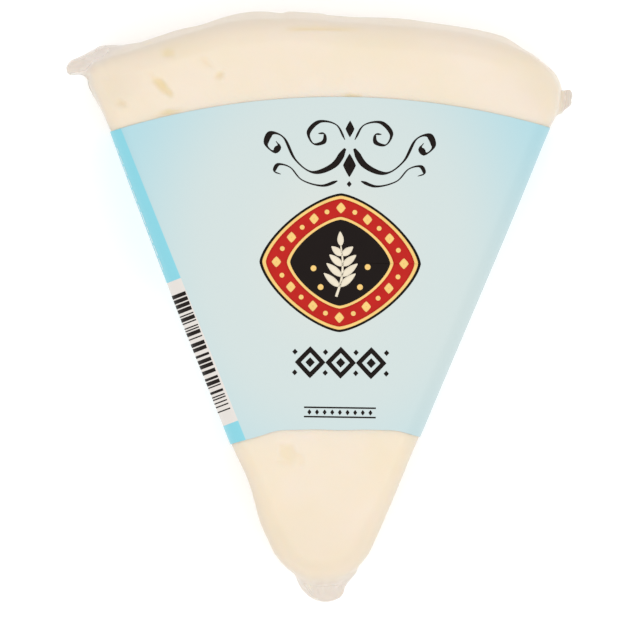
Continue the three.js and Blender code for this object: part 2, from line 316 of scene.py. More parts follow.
def edge_radius(x, y):
    """The upper edge's radius: smallest at the left corner, larger at the tip and along the rim."""
    distance = np.hypot(x, y)
    at_corner = near(x, y, LEFT_CORNER, 9)
    rim = eased(distance, 124, 132) * (1 - at_corner)
    tip = 1 - eased(distance, 26, 44)
    return (SIDE_EDGE + (TIP_EDGE - SIDE_EDGE) * tip + (RIM_EDGE - SIDE_EDGE) * rim
            - (SIDE_EDGE - LEFT_CORNER_EDGE) * at_corner)


def wedge_skin(plan, out):
    """The wedge's skin as (rows, columns, 3) and the outward direction at each of its points. Rows are
    rings of the underside, a quarter circle, the wall with its rows closest at half height, a quarter
    circle again and rings of the upper face, closest near its edge. Edges and wall swell as one sine."""
    columns = len(plan)
    edge = edge_radius(*plan.T)
    swell = swelling(*plan.T)
    top = CEILING - corner_drop(*plan.T)
    low, high = UNDERSIDE + FLOOR_EDGE, top - edge
    rows, ways = [], []

    def add(inset, height, rise, crown_share=0.0):
        """One row: the plan drawn in by inset, at a height, facing outwards and up by the angle rise."""
        swollen = swell * np.sin(math.pi * np.clip((height - UNDERSIDE) / (top - UNDERSIDE), 0, 1))
        at = plan + (swollen - inset)[:, None] * out
        z = height + crown_share * crown(at[:, 0], at[:, 1])
        rows.append(np.column_stack([at, z * np.ones(columns)]))
        ways.append(np.column_stack([math.cos(rise) * out, math.sin(rise) * np.ones(columns)]))

    def add_ring(edge_ring, share, face_height, up):
        """One row of a face: the ring of its edge drawn together towards the face's centre."""
        at = FACE_CENTRE + share * (edge_ring - FACE_CENTRE)
        rows.append(np.column_stack([at, face_height(at[:, 0], at[:, 1])]))
        ways.append(np.tile((0.0, 0.0, up), (columns, 1)))

    for share in np.linspace(0.02, 1, 8)[:-1]:
        add_ring(plan - FLOOR_EDGE * out, share, lambda x, y: UNDERSIDE + 0 * x, -1.0)
    for turn in np.linspace(0, math.pi / 2, 8):
        add(FLOOR_EDGE * (1 - math.sin(turn)), UNDERSIDE + FLOOR_EDGE * (1 - math.cos(turn)),
            turn - math.pi / 2)
    signed = np.linspace(-1, 1, 47)[1:-1]
    for share in 0.5 + 0.5 * np.sign(signed) * np.abs(signed) ** 1.7:
        add(0.0, low + share * (high - low), 0.0)
    for turn in np.linspace(0, math.pi / 2, 17):
        inset = edge * (1 - math.cos(turn))
        sunk = corner_drop(*(plan - inset[:, None] * out).T)
        add(inset, CEILING - sunk - edge * (1 - math.sin(turn)), turn, math.sin(turn))
    upper_ring = rows[-1][:, :2]
    rings = (np.linspace(1, 0.7, 33), np.linspace(0.7, 0.5, 13), np.linspace(0.5, 0.02, 9))
    for share in np.concatenate([ring[1:] for ring in rings]):
        add_ring(upper_ring, share, lambda x, y: CEILING + crown(x, y) - corner_drop(x, y), 1.0)
    return np.array(rows), np.array(ways)


# Where the film is welded its plan runs on into an ear at each rim corner and a neck at the tip. The outline
# of each leaves the plan at its first place and comes back to it at its last.
SEAL_HEIGHT = 17
WELD_WAVE = 0.3  # how far the weld runs up and down
WELD_WAVE_RATE = 0.9  # radians of that wave to a degree of bearing
WELD_FIN = 0.15  # how far it stands out along the rim
FIN_HEIGHT = 2.2
FIN_SHARE = 0.45  # of a lobe's height
EAR = ((-38.5, 128.6), (-41.2, 127.7), (-43.2, 127.4), (-45.2, 127.6), (-46.9, 127.3), (-49.3, 125.7),
       (-51.5, 124.4), (-53.0, 124.0), (-53.7, 122.7), (-53.2, 121.1), (-51.4, 121.3), (-50.0, 121.2),
       (-49.2, 119.9))
TAB = ((46.2, 114.4), (47.0, 114.5), (47.6, 114.6), (48.2, 115.3), (49.7, 116.6), (49.9, 116.9),
       (49.9, 119.4), (49.8, 119.8), (48.9, 119.7), (47.4, 119.2), (46.5, 119.9))
NECK = ((-7.8, 22.0), (-6.4, 20.7), (-5.3, 20.2), (-4.9, 19.1), (-4.3, 17.8), (-3.5, 16.5), (-1.8, 15.1),
        (-0.1, 14.4), (2.1, 14.4), (3.9, 15.1), (4.9, 16.2), (4.9, 17.4), (6.2, 19.0), (7.4, 20.2),
        (7.9, 22.1))
LOBES = (  # middle, reach, height above and below the weld, how full
    ((-50, 122.5), 8, 15.5, 0.7),
    ((0, 17), 7, 15, 0.8),
    ((49, 118), 3, 3.2, 0.1),
)
GATHERS = (((-49, 121), 11, 0.16), ((47.5, 118), 9, 0.08), ((0, 19), 13, 0.1))  # middle, folds, depth
GATHER_AWAY, GATHER_REACH = 6.5, 4.5


def drawn_out(flange, places):
    """The flange's plan with the stretch between its points nearest to the first and the last place laid
    along a smooth line past the others. The line's corners are cut at quarters of its sides three times,
    then it is spaced evenly."""
    first, last = (np.argmin(np.linalg.norm(flange - place, axis=1)) for place in (places[0], places[-1]))
    line = np.array([flange[first], *places[1:-1], flange[last]])
    for _ in range(3):
        cut = np.stack([0.75 * line[:-1] + 0.25 * line[1:], 0.25 * line[:-1] + 0.75 * line[1:]], 1)
        line = np.concatenate([line[:1], cut.reshape(-1, 2), line[-1:]])
    flange = flange.copy()
    flange[first:last + 1] = evenly(line, last - first + 1)
    return flange


def lobes(plan, out, skin):
    """How far the skin is drawn out at each of its points, in plan. A lobe's full share swells as
    (1 - t^2)^2 of the way, t being the distance from the weld over the lobe's height. The rest of the way
    to the flange is a thin fin, (1 - distance / fin height)^1.5."""
    swollen = plan + swelling(*plan.T)[:, None] * out
    flange = swollen + WELD_FIN * eased(np.hypot(*plan.T), *RIM_ZONE)[:, None] * out
    for places in (EAR, TAB, NECK):
        flange = drawn_out(flange, places)
    height, filled = FIN_HEIGHT, 0.0
    for place, reach, half_height, share in LOBES:
        here = near(*flange.T, place, reach) ** 0.5
        height, filled = height + (half_height - FIN_HEIGHT) * here, filled + share * here
    weld = SEAL_HEIGHT + WELD_WAVE * np.sin(np.degrees(np.arctan2(*plan.T)) * WELD_WAVE_RATE)
    from_weld = np.abs(skin[..., 2] - weld)
    swell = filled * (1 - np.minimum(from_weld / height, 1) ** 2) ** 2
    fin_height = np.maximum(FIN_HEIGHT, FIN_SHARE * height)
    fin = (1 - filled) * np.maximum(1 - from_weld / fin_height, 0) ** 1.5
    return (swell + fin)[..., None] * (flange - swollen)


def gathers(points):
    """Folds that run out from the two ears and the neck over the walls, in millimetres: a cosine of the
    angle round each times a bell over the distance from it, and none on the faces."""
    total = np.zeros(points.shape[:-1])
    x, y, z = points[..., 0], points[..., 1], points[..., 2] - SEAL_HEIGHT
    for place, folds, depth in GATHERS:
        across = np.hypot(x - place[0], y - place[1]) * np.sign((x - place[0]) * COS + (y - place[1]) * SIN)
        angle, away = np.arctan2(z, across), np.hypot(across, z)
        ragged = angle + 0.25 * np.sin(3 * angle + 1.3)
        total += depth * np.cos(folds * ragged) * bell(away, GATHER_AWAY, GATHER_REACH)
    return total * (1 - eased(np.abs(z), 10, 13.5))


# Holes in the face: place, half length, half width, lean in degrees, depth and how much whey fills them
FACE_FLOOR = CEILING - 4  # the upper face and its edges lie above this
HOLE_RAGGEDNESS = 1.5
HOLES = (
    ((-32.6, 125.9), 1.3, 1.0, 20, 0.35, 0.55),
    ((-33.9, 119.2), 2.7, 0.75, -41, 0.5, 1.0),
    ((-22.0, 121.5), 0.9, 0.75, 0, 0.4, 0.6),
    ((-24.6, 123.7), 1.9, 0.6, -38, 0.2, 0.25),
    ((-41.8, 115.4), 0.9, 0.8, 0, 0.3, 0.45),
    ((-32.3, 113.6), 2.2, 0.55, 14, 0.4, 0.8),
    ((4.9, 117.4), 1.9, 0.6, 0, 0.2, 0.8),
    ((-7.0, 44.4), 2.6, 1.6, -42, 0.3, 0.45),
)


def holes(points):
    """Depth of the holes and share of whey at points of the upper face. Each hole is exp(-d^3) of the
    distance d in its own leaning oval, made ragged by short sine waves."""
    depth, whey = np.zeros(points.shape[:-1]), np.zeros(points.shape[:-1])
    ragged = np.exp(HOLE_RAGGEDNESS * sines(points, 11, 1.2, 4))
    for place, half_length, half_width, lean, deep, wet in HOLES:
        turn = math.radians(lean)
        x, y = points[..., 0] - place[0], points[..., 1] - place[1]
        along = (x * math.cos(turn) + y * math.sin(turn)) / half_length
        across = (y * math.cos(turn) - x * math.sin(turn)) / half_width
        oval = np.exp(-((along ** 2 + across ** 2) * ragged) ** 1.5) * (points[..., 2] > FACE_FLOOR)
        depth, whey = np.maximum(depth, deep * oval), np.maximum(whey, wet * oval)
    return depth, whey


def crease(points):
    """The fold just inside the rim, at its middle: how high its rounded ridge stands and how deep the groove
    just outside it is, as bells over the distance from the apex that fade out along the rim."""
    distance = np.hypot(points[..., 0], points[..., 1])
    bearing = np.degrees(np.arctan2(points[..., 0], points[..., 1]))
    upper = points[..., 2] > FACE_FLOOR
    groove = eased(bearing, -4.5, -2.5) * (1 - eased(bearing, 0.5, 4)) * bell(distance, GROOVE_LINE, 0.45)
    ridge = eased(bearing, -7, -3) * (1 - eased(bearing, 0, 8)) * bell(distance, RIDGE_LINE, 1.3)
    return upper * ridge, upper * groove


def grid_faces(rows, columns, closed_rows=False, closed_columns=True):
    """The four-cornered faces of a grid of points, as one array of corner numbers."""
    row, column = np.meshgrid(np.arange(rows if closed_rows else rows - 1),
                              np.arange(columns if closed_columns else columns - 1), indexing="ij")
    ahead, above = (column + 1) % columns, (row + 1) % rows
    return np.stack([row * columns + column, row * columns + ahead,
                     above * columns + ahead, above * columns + column], -1).reshape(-1, 4)


def capped(points):
    """A grid's points and faces, with its first and last row closed on their middles."""
    rows, columns = points.shape[:2]
    first, top = rows * columns, (rows - 1) * columns
    along = np.arange(columns)
    ahead = (along + 1) % columns
    faces = grid_faces(rows, columns).tolist()
    faces += np.stack([np.full(columns, first), ahead, along], -1).tolist()
    faces += np.stack([np.full(columns, first + 1), top + along, top + ahead], -1).tolist()
    return np.concatenate([points.reshape(-1, 3), points[:1].mean(1), points[-1:].mean(1)]), faces


def shown(name, points, faces, material, slot, **attributes):
    """A smooth mesh object with one number for each point in each attribute, riding on the part."""
    mesh = bpy.data.meshes.new(name)
    mesh.from_pydata(placed(points).tolist(), [], faces)
    mesh.polygons.foreach_set("use_smooth", np.ones(len(mesh.polygons), bool))
    for attribute, values in attributes.items():
        layer = mesh.attributes.new(attribute, "FLOAT", "POINT")
        layer.data.foreach_set("value", np.asarray(values, np.float32).ravel())
    mesh.materials.append(material)
    piece = bpy.data.objects.new(name, mesh)
    scene.collection.objects.link(piece)
    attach(piece, "root")
    return piece


def fed(tree, socket, value):
    """Sets a socket to a plain number or colour, or links another socket to it."""
    if isinstance(value, (int, float, tuple)):
        socket.default_value = value
    else:
        tree.links.new(value, socket)


def worked_out(tree, operation, *values):
    """The result of a math node whose inputs are sockets or plain numbers."""
    node = tree.nodes.new("ShaderNodeMath")
    node.operation = operation
    for socket, value in zip(node.inputs, values):
        fed(tree, socket, value)
    return node.outputs["Value"]


def measured(tree, name):
    """The socket of a number that the mesh carries."""
    node = tree.nodes.new("ShaderNodeAttribute")
    node.attribute_name = name
    return node.outputs["Fac"]


def blended(tree, share, below, above):
    """A colour that goes from one to the other as share goes from 0 to 1."""
    node = tree.nodes.new("ShaderNodeMix")
    node.data_type = "RGBA"
    fed(tree, node.inputs["Factor"], share)
    fed(tree, node.inputs["A"], below)
    fed(tree, node.inputs["B"], above)
    return node.outputs["Result"]


def ramped(tree, share, stops, interpolation="LINEAR"):
    """The colour at a share from 0 to 1 of a ramp with the given stops, each a position and its colour."""
    node = tree.nodes.new("ShaderNodeValToRGB")
    node.color_ramp.interpolation = interpolation
    for _ in stops[2:]:
        node.color_ramp.elements.new(0.5)
    for element, (position, colour) in zip(node.color_ramp.elements, stops):
        element.position = position
        element.color = colour
    tree.links.new(share, node.inputs["Fac"])
    return node.outputs["Color"]


def noise(tree, **values):
    """A noise texture in the object's own coordinates, as a number round 0.5."""
    node = tree.nodes.new("ShaderNodeTexNoise")
    set_sockets(node, **values)
    tree.links.new(tree.nodes.new("ShaderNodeTexCoord").outputs["Object"], node.inputs["Vector"])
    return node.outputs["Fac"]


def roughened(tree, shader, height, strength, distance):
    """Tilts the shader's surface by a height, which stands for a distance in metres."""
    bump = tree.nodes.new("ShaderNodeBump")
    set_sockets(bump, Strength=strength, Distance=distance)
    tree.links.new(height, bump.inputs["Height"])
    tree.links.new(bump.outputs["Normal"], shader.inputs["Normal"])


CURD = ((0.35, (0.865, 0.755, 0.575, 1)), (0.65, (0.885, 0.775, 0.650, 1)))  # yellowish to pinkish patches
# painted shade: a darker curd colour mixed in where the cheese turns away from the light
SHADED_CURD = (0.74, 0.645, 0.52, 1)
SQUEEZED_CURD = (0.79, 0.715, 0.65, 1)
WHEY = (0.84, 0.69, 0.38, 1)
HOLE_SHAKE = 0.004  # in metres, as the object's coordinates are


def wall_holes(tree):
    """Small ragged holes for the walls and the underside, as a share of 1: spots round scattered points in
    space, in coordinates that a noise has shaken."""
    shaken = tree.nodes.new("ShaderNodeVectorMath")
    shaken.operation = "MULTIPLY_ADD"
    shaken.inputs[1].default_value = (HOLE_SHAKE,) * 3
    ragged = tree.nodes.new("ShaderNodeTexNoise")
    set_sockets(ragged, Scale=500.0, Detail=2.0)
    place = tree.nodes.new("ShaderNodeTexCoord").outputs["Object"]
    scattered = tree.nodes.new("ShaderNodeTexVoronoi")
    set_sockets(scattered, Scale=115.0)
    spot = tree.nodes.new("ShaderNodeMapRange")
    set_sockets(spot, From_Min=0.06, From_Max=0.15, To_Min=0.8, To_Max=0.0)
    for start, end in ((place, ragged.inputs["Vector"]), (ragged.outputs["Color"], shaken.inputs[0]),
                       (place, shaken.inputs[2]), (shaken.outputs["Vector"], scattered.inputs["Vector"]),
                       (scattered.outputs["Distance"], spot.inputs["Value"])):
        tree.links.new(start, end)
    return worked_out(tree, "MULTIPLY", spot.outputs["Result"], measured(tree, "wall"))


def cheese_material():
    """Moist white curd: cream with faint pink and yellow patches, soft to light, with a fine close grain.
    It is yellower where whey stands, darker with painted shade round the edges and walls, and pinkish grey
    in the lobes."""
    material, tree, shader = new_material("moist white cheese")
    colour = ramped(tree, noise(tree, Scale=55.0, Detail=3.0, Roughness=0.55), CURD)
    # painted shade: darkens the curd round the edges, the walls and the tip
    colour = blended(tree, measured(tree, "dull"), colour, SHADED_CURD)
    colour = blended(tree, measured(tree, "squeezed"), colour, SQUEEZED_CURD)
    pitted = wall_holes(tree)
    wet = worked_out(tree, "MAXIMUM", measured(tree, "whey"), pitted)
    colour = blended(tree, wet, colour, WHEY)
    tree.links.new(colour, shader.inputs["Base Color"])
    grain = noise(tree, Scale=900.0, Detail=4.0, Roughness=0.6)
    height = worked_out(tree, "MULTIPLY_ADD", pitted, -3.0, grain)
    roughened(tree, shader, height, strength=0.25, distance=0.00015)
    set_sockets(shader, Roughness=0.42, Subsurface_Weight=0.35, Subsurface_Scale=0.004,
                Subsurface_Radius=(1.0, 0.7, 0.45), Coat_Weight=0.25, Coat_Roughness=0.25)
    return material


def for_caps(values):
    """A grid of numbers, held between 0 and 1, as one row with a 0 for each of the grid's two caps."""
    return np.append(np.clip(values, 0, 1).ravel(), (0, 0))


plan, plan_out = plan_outline(COLUMNS)
skin, ways = wedge_skin(plan, plan_out)
drawn = lobes(plan, plan_out, skin)
skin = skin + (relief(skin) + gathers(skin))[..., None] * ways
hole_depth, whey = holes(skin)
ridge, groove = crease(skin)
distance = np.hypot(skin[..., 0], skin[..., 1])
tilted = 1 - ways[..., 2]

# Whey also stands in the groove and thinly round the tip. Painted shade darkens the cheese where it turns
# away from the upper face, most on its left side and near the tip, where the face is painted a little darker
# as well.
GROOVE_WHEY, TIP_WHEY, TIP_WHEY_ZONE = 0.6, 0.1, (30, 60)
SIDE_SHADE, TIP_SIDE_SHADE, TIP_SIDE_ZONE = 0.7, 0.3, (45, 65)
SIDE_SHADE_LEAN = 0.3  # more at the left corner and less at the right one
TIP_FACE_SHADE, TIP_FACE_ZONE = 0.3, (18, 42)
CORNER_HALF = 50  # half way from one rim corner to the other
whey = np.maximum(whey, GROOVE_WHEY * groove)
whey = np.maximum(whey, TIP_WHEY * (1 - eased(distance, *TIP_WHEY_ZONE)))
squeezed = eased(np.hypot(drawn[..., 0], drawn[..., 1]), 0.1, 1.3)
dull = SIDE_SHADE - SIDE_SHADE_LEAN * skin[..., 0] / CORNER_HALF
dull = (dull + TIP_SIDE_SHADE * (1 - eased(distance, *TIP_SIDE_ZONE))) * eased(tilted, 0, 0.9)
dull = np.maximum(dull, TIP_FACE_SHADE * (1 - eased(distance, *TIP_FACE_ZONE)))
inner = skin - (CHEESE_INSET + hole_depth + GROOVE_DEPTH * groove)[..., None] * ways
inner[..., :2] += drawn
cheese_points, cheese_faces = capped(inner)
cheese = shown("cheese", cheese_points, cheese_faces, cheese_material(), "cheese",
               whey=for_caps(whey), squeezed=for_caps(squeezed), dull=for_caps(dull),
               wall=for_caps(eased(tilted, 0.5, 1)))
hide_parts("pack")


# The film: clear and skin-tight, shrunk on by vacuum and welded at half height along the rim. It is milky
# and pinkish grey where it is drawn out into the ears and the neck, and folded once along the rim.
RIDGE_HEIGHT = 0.16
FILM_DIP = 0.35  # share of a hole's depth that the film follows
HAZE, MILK = 0.12, 0.4  # how opaque the film is where it is clear and where it is milkiest
RIM_MILK, WELD_MILK = 0.3, 0.6  # shares of the milkiest, along the rim and added on its weld
WELD_WIDTH = 0.9


def film_material():
    """Clear glossy film, slightly crinkled and hazy, milkier where it is drawn out or welded."""
    material, tree, shader = new_material("clear vacuum film")
    cover = tree.nodes.new("ShaderNodeMapRange")
    set_sockets(cover, To_Min=HAZE, To_Max=MILK)
    tree.links.new(measured(tree, "milk"), cover.inputs["Value"])
    tree.links.new(cover.outputs["Result"], shader.inputs["Alpha"])
    crinkle = noise(tree, Scale=160.0, Detail=2.0, Distortion=0.6)
    roughened(tree, shader, crinkle, strength=0.12, distance=0.0002)
    set_sockets(shader, Base_Color=(0.87, 0.785, 0.69, 1), Roughness=0.16)
    return material


outer = skin + (RIDGE_HEIGHT * ridge - GROOVE_DEPTH * groove - FILM_DIP * hole_depth)[..., None] * ways
outer[..., :2] += drawn
film_points, film_faces = capped(outer)
at_rim = eased(distance, 130.5, 133)
weld_line = at_rim * bell(skin[..., 2], SEAL_HEIGHT, WELD_WIDTH)
film = shown("film", film_points, film_faces, film_material(), "film",
             milk=for_caps(np.maximum(squeezed, RIM_MILK * at_rim + WELD_MILK * weld_line)))
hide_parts("pack")


# The label: a band of thin printed film wrapped round the pack under tension and lapped underneath. Its
# ends are two arcs, the near one a little flattened. Pale blue fades to grey-white in the middle, and its
# left edge and wall have a cyan side panel with a white field.
LABEL_FAR_ARC = (4.1, -36.6, 153.9)  # centre and radius
LABEL_NEAR_ARC = (4.3, -23.9, 73.95)
NEAR_END_SHIFTS = ((-9, 3.2, 0.45), (3.6, 5, -0.45), (15, 3, 0.35))  # place across, reach, how far out
LABEL_GAP = 0.03
LABEL_THICKNESS = 0.09
LABEL_LAP = 0.08
LAP_PLACE = 0.6125  # share of the way across the underside from its left edge
LAP_STEP = 0.0005  # share to each side of it, over which the lap steps down
LABEL_STEPS = 90
END_STRIP = 0.0006  # share of the label's length, which keeps the shading of its cut ends narrow
BEYOND_PANEL = 99  # stands for how far round a place lies where the side panel doesn't reach
WALL_LOW, WALL_HIGH = UNDERSIDE + FLOOR_EDGE, CEILING - SIDE_EDGE


def edge_stations(side, upper, offset, turns):
    """Stations round one long edge of the sleeve: a quarter circle about the edge's own centre."""
    radius = SIDE_EDGE if upper else FLOOR_EDGE
    up = 1 if upper else -1
    inset = radius - (radius + offset) * np.cos(turns)
    z = (WALL_HIGH if upper else WALL_LOW) + up * (radius + offset) * np.sin(turns)
    round_by = radius * turns if upper else WALL_LOW - WALL_HIGH - radius * turns
    return np.column_stack(np.broadcast_arrays(
        -side * inset * COS, inset * SIN, side * SIN, COS, z, np.sin(turns) * upper,
        side * np.cos(turns) * COS, -np.cos(turns) * SIN, up * np.sin(turns),
        round_by if side < 0 else BEYOND_PANEL))


def wall_stations(side, offset, heights):
    """Stations down one wall of the sleeve."""
    round_by = heights - WALL_HIGH if side < 0 else BEYOND_PANEL
    return np.column_stack(np.broadcast_arrays(
        side * offset * COS, -offset * SIN, side * SIN, COS, heights, 0, side * COS, -SIN, 0, round_by))


def face_stations(inset, heights, crown_share, shares, up, round_by):
    """Stations across a face of the sleeve: lines that fan out from one point on the middle line."""
    bearing = HALF_ANGLE * (2 * shares - 1)
    return np.column_stack(np.broadcast_arrays(
        0, inset / SIN, np.sin(bearing), np.cos(bearing), heights, crown_share, 0, 0, up, round_by))


def sleeve_stations(offset):
    """The straight lines that the sleeve is drawn from, anticlockwise seen from the tip. Each row holds its
    start and direction in plan, its height, its share of the crown, its outward direction and how far
    round from the left wall's top it lies. The upper face, the right wall and the underside as far as the
    lap lie beyond the panel above it, and the rest of the underside beyond it below."""
    up = np.linspace(0, math.pi / 2, 15)
    down = up[::-1]
    heights = np.linspace(WALL_LOW, WALL_HIGH, 14)[1:-1]
    across = np.arange(1, 96) / 96
    below = np.append(np.arange(1, 40) / 40, (LAP_PLACE - LAP_STEP, LAP_PLACE + LAP_STEP))
    below = np.sort(below)[::-1]
    lapped = UNDERSIDE - offset - LABEL_LAP * (below > LAP_PLACE) * (offset > LABEL_GAP)
    return np.concatenate([
        edge_stations(-1, True, offset, up),
        face_stations(SIDE_EDGE, CEILING + offset, 1, across, 1, BEYOND_PANEL),
        edge_stations(1, True, offset, down),
        wall_stations(1, offset, heights[::-1]),
        edge_stations(1, False, offset, up),
        face_stations(FLOOR_EDGE, lapped, 0, below, -1, BEYOND_PANEL * np.sign(below - LAP_PLACE)),
        edge_stations(-1, False, offset, down),
        wall_stations(-1, offset, heights),
    ]).T


def crossing(start_x, start_y, ahead_x, ahead_y, arc):
    """How far along each station's line an arc crosses it, by the circle's equation."""
    dx, dy = arc[0] - start_x, arc[1] - start_y
    middle = dx * ahead_x + dy * ahead_y
    return middle + np.sqrt(arc[2] ** 2 - dx * dx - dy * dy + middle * middle)


def on_pack(points, ways):
    """Points of the label carried by the pack's belly, unevenness and holes."""
    distance = np.hypot(points[..., 0], points[..., 1])
    sideways = np.hypot(ways[..., 0], ways[..., 1])
    lift = cut_face_sway(points[..., 0], distance) * sideways + relief(points) - FILM_DIP * holes(points)[0]
    return points + lift[..., None] * ways


def sleeve(offset):
    """The label's skin at an offset from the film, as (steps, stations, 3), and at each of its points how
    far it lies along the left edge from the apex and how far round from the left wall's top."""
    x, y, ahead_x, ahead_y, z, crown_share, *way, round_by = sleeve_stations(offset)
    near_end = crossing(x, y, ahead_x, ahead_y, LABEL_NEAR_ARC)
    across = x + near_end * ahead_x
    near_end = near_end + sum(shift * bell(across, place, reach) for place, reach, shift in NEAR_END_SHIFTS)
    far_end = crossing(x, y, ahead_x, ahead_y, LABEL_FAR_ARC)
    share = np.linspace(END_STRIP, 1 - END_STRIP, LABEL_STEPS)
    share = np.concatenate([[0], share, [1]])[:, None]
    reach = near_end + share * (far_end - near_end)
    px, py = x + reach * ahead_x, y + reach * ahead_y
    points = np.stack([px, py, z + crown_share * crown(px, py)], -1)
    ways = np.broadcast_to(np.stack(way, -1), points.shape)
    return on_pack(points, ways), py * COS - px * SIN, np.broadcast_to(round_by, px.shape)


# The face's fade: share of the way out to an oval's edge, and colour
FADE = ((0.0, (0.66, 0.70, 0.66, 1)), (0.45, (0.60, 0.69, 0.68, 1)), (1.0, (0.39, 0.65, 0.72, 1)))

# The side panel, by the distance along the left edge from the apex
PANEL_EDGE_FAR = 4.3  # how far onto the upper edge it reaches at the label's far end
PANEL_EDGE_NEAR = 5.2
PANEL_FAR, PANEL_NEAR = 118.3, 50.2
PANEL_CYAN = (0.245, 0.635, 0.735, 1)
WHITE_FIELD = (54.0, 85.2)
FIELD_WHITE = (0.76, 0.715, 0.67, 1)


def label_material():
    """Printed film: pale blue that fades to a warm grey-white in an oval round the middle of the face,
    a cyan side panel with a white field on the left edge and wall, and a faint satin grain."""
    material, tree, shader = new_material("printed label film")
    nodes, links = tree.nodes, tree.links
    oval = nodes.new("ShaderNodeMapping")
    oval.vector_type = "TEXTURE"
    set_sockets(oval, Location=(0.003, 0.011, 0.034), Scale=(0.052, 0.063, 0.2))
    links.new(nodes.new("ShaderNodeTexCoord").outputs["Object"], oval.inputs["Vector"])
    distance = nodes.new("ShaderNodeVectorMath")
    distance.operation = "LENGTH"
    links.new(oval.outputs["Vector"], distance.inputs[0])
    face = ramped(tree, distance.outputs["Value"], FADE, "EASE")

    along, round_by = measured(tree, "along"), measured(tree, "round_by")
    slant = (PANEL_EDGE_NEAR - PANEL_EDGE_FAR) / (PANEL_FAR - PANEL_NEAR)
    level = worked_out(tree, "MULTIPLY_ADD", along, slant, round_by)
    below_edge = worked_out(tree, "LESS_THAN", level, PANEL_EDGE_FAR + slant * PANEL_FAR)
    above_foot = worked_out(tree, "GREATER_THAN", round_by, WALL_LOW - WALL_HIGH)
    on_panel = worked_out(tree, "MULTIPLY", below_edge, above_foot)
    in_field = worked_out(tree, "MULTIPLY", worked_out(tree, "GREATER_THAN", along, WHITE_FIELD[0]),
                          worked_out(tree, "LESS_THAN", along, WHITE_FIELD[1]))
    side = blended(tree, in_field, PANEL_CYAN, FIELD_WHITE)
    links.new(blended(tree, on_panel, face, side), shader.inputs["Base Color"])
    roughened(tree, shader, noise(tree, Scale=1500.0, Detail=2.0), strength=0.08, distance=0.00005)
    set_sockets(shader, Roughness=0.38, Specular_IOR_Level=0.4)
    return material


outside, along, round_by = sleeve(LABEL_GAP + LABEL_THICKNESS)
inside, *_ = sleeve(LABEL_GAP)
label_grid = np.concatenate([outside, inside[::-1]])
label_faces = grid_faces(*label_grid.shape[:2], closed_rows=True).tolist()
label = shown("label_band", label_grid.reshape(-1, 3), label_faces, label_material(), "label",
              along=np.concatenate([along, along[::-1]]),
              round_by=np.concatenate([round_by, round_by[::-1]]))
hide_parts("label")


# The print: black, red, gold and cream ink on the label. On the face a scrolled flourish stands over a
# rounded diamond badge with a sprig, and a row of diamonds and a double rule stand under it. The side panel
# has a stack of bars, which are seeded and stand for no number, and rows of pale dashes.
INK_LIFT = LABEL_GAP + LABEL_THICKNESS
INK_STEP = 0.015  # each layer of ink lies this much above the one below
INK_THICKNESS = 0.008
NIB_SLANT = math.radians(35)
BLACK = (0.010, 0.006, 0.005, 1)
RED = (0.50, 0.016, 0.012, 1)
GOLD = (0.90, 0.60, 0.20, 1)
CREAM = (0.82, 0.74, 0.58, 1)


def on_face(stamp, lift):
    """A stamp's points (x, y) laid on the label's upper face, raised by lift."""
    x, y = stamp[..., 0], stamp[..., 1]
    at = np.stack([x, y, CEILING + crown(x, y) + lift], -1)
    return on_pack(at, np.broadcast_to((0.0, 0.0, 1.0), at.shape))


def on_side(stamp, lift):
    """A stamp's points laid on the left edge and wall, raised by lift: the first number is the distance
    along the edge from the apex, the second how far round from the wall's top, down the wall below 0."""
    reach, round_by = stamp[..., 0], stamp[..., 1]
    turn = np.maximum(round_by, 0) / SIDE_EDGE
    inset = SIDE_EDGE - (SIDE_EDGE + lift) * np.cos(turn)
    x, y = inset * COS - reach * SIN, inset * SIN + reach * COS
    z = WALL_HIGH + (SIDE_EDGE + lift) * np.sin(turn) + np.minimum(round_by, 0) + np.sin(turn) * crown(x, y)
    way = np.stack([-np.cos(turn) * COS, -np.cos(turn) * SIN, np.sin(turn)], -1)
    return on_pack(np.stack([x, y, z], -1), way)


def ink_material(name, colour):
    """Satin ink with the slight mottling of a print on film: a little darker and lighter in patches, with a
    fine grain."""
    material, tree, shader = new_material(name + " ink")
    thin, dense = ((*(shade * part for part in colour[:3]), 1) for shade in (1.12, 0.88))
    mottled = blended(tree, noise(tree, Scale=450.0, Detail=3.0), thin, dense)
    tree.links.new(mottled, shader.inputs["Base Color"])
    roughened(tree, shader, noise(tree, Scale=2500.0, Detail=2.0), strength=0.1, distance=0.00002)
    set_sockets(shader, Roughness=0.5, Specular_IOR_Level=0.08)
    return material


def printed(name, stamps, colour, layer, lay=on_face):
    """A piece of ink from stamps, each a grid (rows, columns, 2) of points. They are laid on the label,
    raised by one step for each layer, and given the ink's thickness."""
    points, faces, count = [], [], 0
    for stamp in stamps:
        rows, columns = stamp.shape[:2]
        points.append(lay(stamp, INK_LIFT + INK_STEP * layer).reshape(-1, 3))
        faces += (grid_faces(rows, columns, closed_columns=False) + count).tolist()
        count += rows * columns
    piece = shown(name, np.concatenate(points), faces, ink_material(name, colour), "print")
    body = piece.modifiers.new("thickness", "SOLIDIFY")
    body.thickness = INK_THICKNESS * MM
    body.offset = -1


def rounded_diamond(half_width, half_height, power, turn):
    """Points of |x / width|^power + |y / height|^power = 1: a diamond at power 1, an oval at 2."""
    x, y = np.cos(turn), np.sin(turn)
    return np.stack([half_width * np.sign(x) * np.abs(x) ** (2 / power),
                     half_height * np.sign(y) * np.abs(y) ** (2 / power)], -1)


def diamond(centre, half_width, half_height, inner=0.001, power=1.1, steps=97, rings=4):
    """A rounded diamond, or a frame of one between the shares inner and 1 of its size."""
    outline = rounded_diamond(half_width, half_height, power, np.linspace(0, 2 * math.pi, steps))
    return np.array(centre) + np.linspace(1, inner, rings)[:, None, None] * outline


